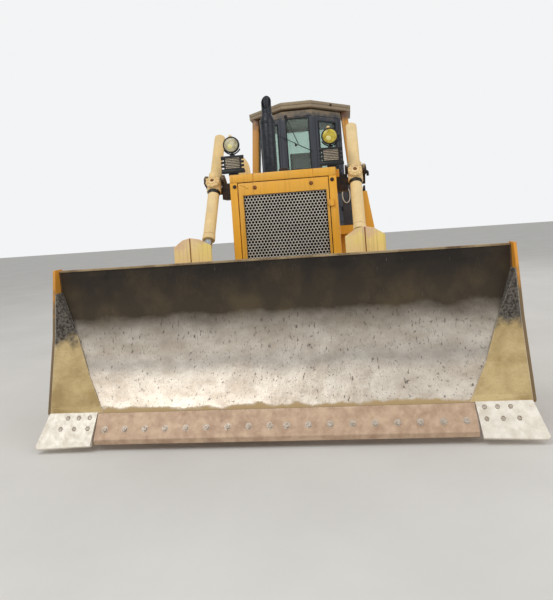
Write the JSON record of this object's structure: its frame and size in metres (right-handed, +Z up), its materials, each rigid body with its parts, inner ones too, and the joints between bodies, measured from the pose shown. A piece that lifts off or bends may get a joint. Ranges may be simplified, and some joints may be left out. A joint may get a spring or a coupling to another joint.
{
  "type": "crawler bulldozer",
  "caption": "Crawler bulldozer with a straight tilt blade on push arms, twin lift cylinders, six-sided cab and two-post roof frame.",
  "frame": {"origin": "centre of the machine's footprint on the ground, blade and drawbar included", "axes": "+Z up, -Y forward towards the blade, +X to the machine's own left"},
  "size_m": [4.03, 6.0702, 3.6],
  "materials": {
    "amber_paint": "worn gloss paint",
    "cream_paint": "faded satin paint",
    "track_steel": "dusty worn steel",
    "worn_steel": "soil-polished steel",
    "edge_steel": "scuffed steel",
    "bright_rod": "polished",
    "charcoal_paint": "satin",
    "cab_glass": "clear",
    "dark_iron": "heat-stained",
    "seat_cover": "woven",
    "roof_paint": "dusty paint",
    "lamp_black": "matte"
  },
  "bodies": {
    "chassis": {"main_frame": "amber_paint", "drawbar": "amber_paint", "radiator_guard": "amber_paint", "radiator_core": "dark_iron", "engine_block": "dark_iron", "hood": "amber_paint", "exhaust": "dark_iron", "air_intake": "cream_paint", "service_box": "charcoal_paint", "cab_base": "amber_paint", "cab_shell": "charcoal_paint", "cab_glass": "cab_glass", "seat": "seat_cover", "console": "charcoal_paint", "roof_frame": "roof_paint", "fuel_tank": "amber_paint", "rear_lamps": "lamp_black", "idlers": "track_steel", "sprockets": "track_steel", "final_drives": "amber_paint", "yoke_brackets": "cream_paint", "side_panels": "amber_paint", "decks": "amber_paint", "side_tanks": "amber_paint", "work_lamps": "lamp_black", "round_lamps": "lamp_black", "track_left": "track_steel", "track_right": "track_steel", "track_frame_left": "amber_paint", "track_frame_right": "amber_paint", "rollers_left": "track_steel", "rollers_right": "track_steel"},
    "blade": {"moldboard": "worn_steel", "cutting_edge": "edge_steel", "blade_back": "amber_paint", "arm_brace": "amber_paint", "tilt_cylinder": "cream_paint", "end_plates": "amber_paint", "blade_corners": "worn_steel", "end_bits": "edge_steel", "rod_shields": "cream_paint", "push_arms": "amber_paint"},
    "barrel_left": {"lift_barrel_left": "cream_paint"},
    "rod_left": {"lift_rod_left": "bright_rod"},
    "cab_door_left": {"cab_door_left": "charcoal_paint", "cab_door_glass_left": "cab_glass"},
    "engine_door_left": {"engine_door_left": "amber_paint"},
    "barrel_right": {"lift_barrel_right": "cream_paint"},
    "rod_right": {"lift_rod_right": "bright_rod"},
    "cab_door_right": {"cab_door_right": "charcoal_paint", "cab_door_glass_right": "cab_glass"},
    "engine_door_right": {"engine_door_right": "amber_paint"},
    "grille": {"grille_door": "amber_paint"}
  },
  "joints": [
    {"name": "blade_lift", "type": "hinge", "parent": "chassis", "child": "blade", "pos_m": [0, 0.65, 0.45], "axis": [-1, 0, 0], "range_deg": [-9.7, 19]},
    {"name": "lift_barrel_swing_left", "type": "hinge", "parent": "chassis", "child": "barrel_left", "pos_m": [0.77, -1.236, 2.281], "axis": [-1, 0, 0], "range_deg": [-9, 17.6]},
    {"name": "lift_rod_slide_left", "type": "slide", "parent": "barrel_left", "child": "rod_left", "axis": [0, 0.5994, 0.8005], "range_m": [-0.445, 0.866]},
    {"name": "lift_barrel_swing_right", "type": "hinge", "parent": "chassis", "child": "barrel_right", "pos_m": [-0.77, -1.236, 2.281], "axis": [-1, 0, 0], "range_deg": [-9, 17.6]},
    {"name": "lift_rod_slide_right", "type": "slide", "parent": "barrel_right", "child": "rod_right", "axis": [0, 0.5994, 0.8005], "range_m": [-0.445, 0.866]},
    {"name": "cab_door_hinge_left", "type": "hinge", "parent": "chassis", "child": "cab_door_left", "pos_m": [0.6287, 1.63785, 2.5], "axis": [0, 0, 1], "range_deg": [0, 95]},
    {"name": "cab_door_hinge_right", "type": "hinge", "parent": "chassis", "child": "cab_door_right", "pos_m": [-0.6287, 1.63785, 2.5], "axis": [0, 0, -1], "range_deg": [0, 95]},
    {"name": "grille_door_hinge", "type": "hinge", "parent": "chassis", "child": "grille", "pos_m": [0.4865, -1.437, 1.6], "axis": [0, 0, -1], "range_deg": [-70, 0]},
    {"name": "engine_door_hinge_left", "type": "hinge", "parent": "chassis", "child": "engine_door_left", "pos_m": [0.519, -0.934, 1.75], "axis": [0, 0, -1], "range_deg": [0, 85]},
    {"name": "engine_door_hinge_right", "type": "hinge", "parent": "chassis", "child": "engine_door_right", "pos_m": [-0.519, -0.934, 1.75], "axis": [0, 0, 1], "range_deg": [0, 85]}
  ],
  "couplings": [
    {"joint": "lift_barrel_swing_left", "follows": "blade_lift", "ratio": 0.92},
    {"joint": "lift_rod_slide_left", "follows": "blade_lift", "m_per_rad": 2.6},
    {"joint": "lift_barrel_swing_right", "follows": "blade_lift", "ratio": 0.92},
    {"joint": "lift_rod_slide_right", "follows": "blade_lift", "m_per_rad": 2.6}
  ]
}
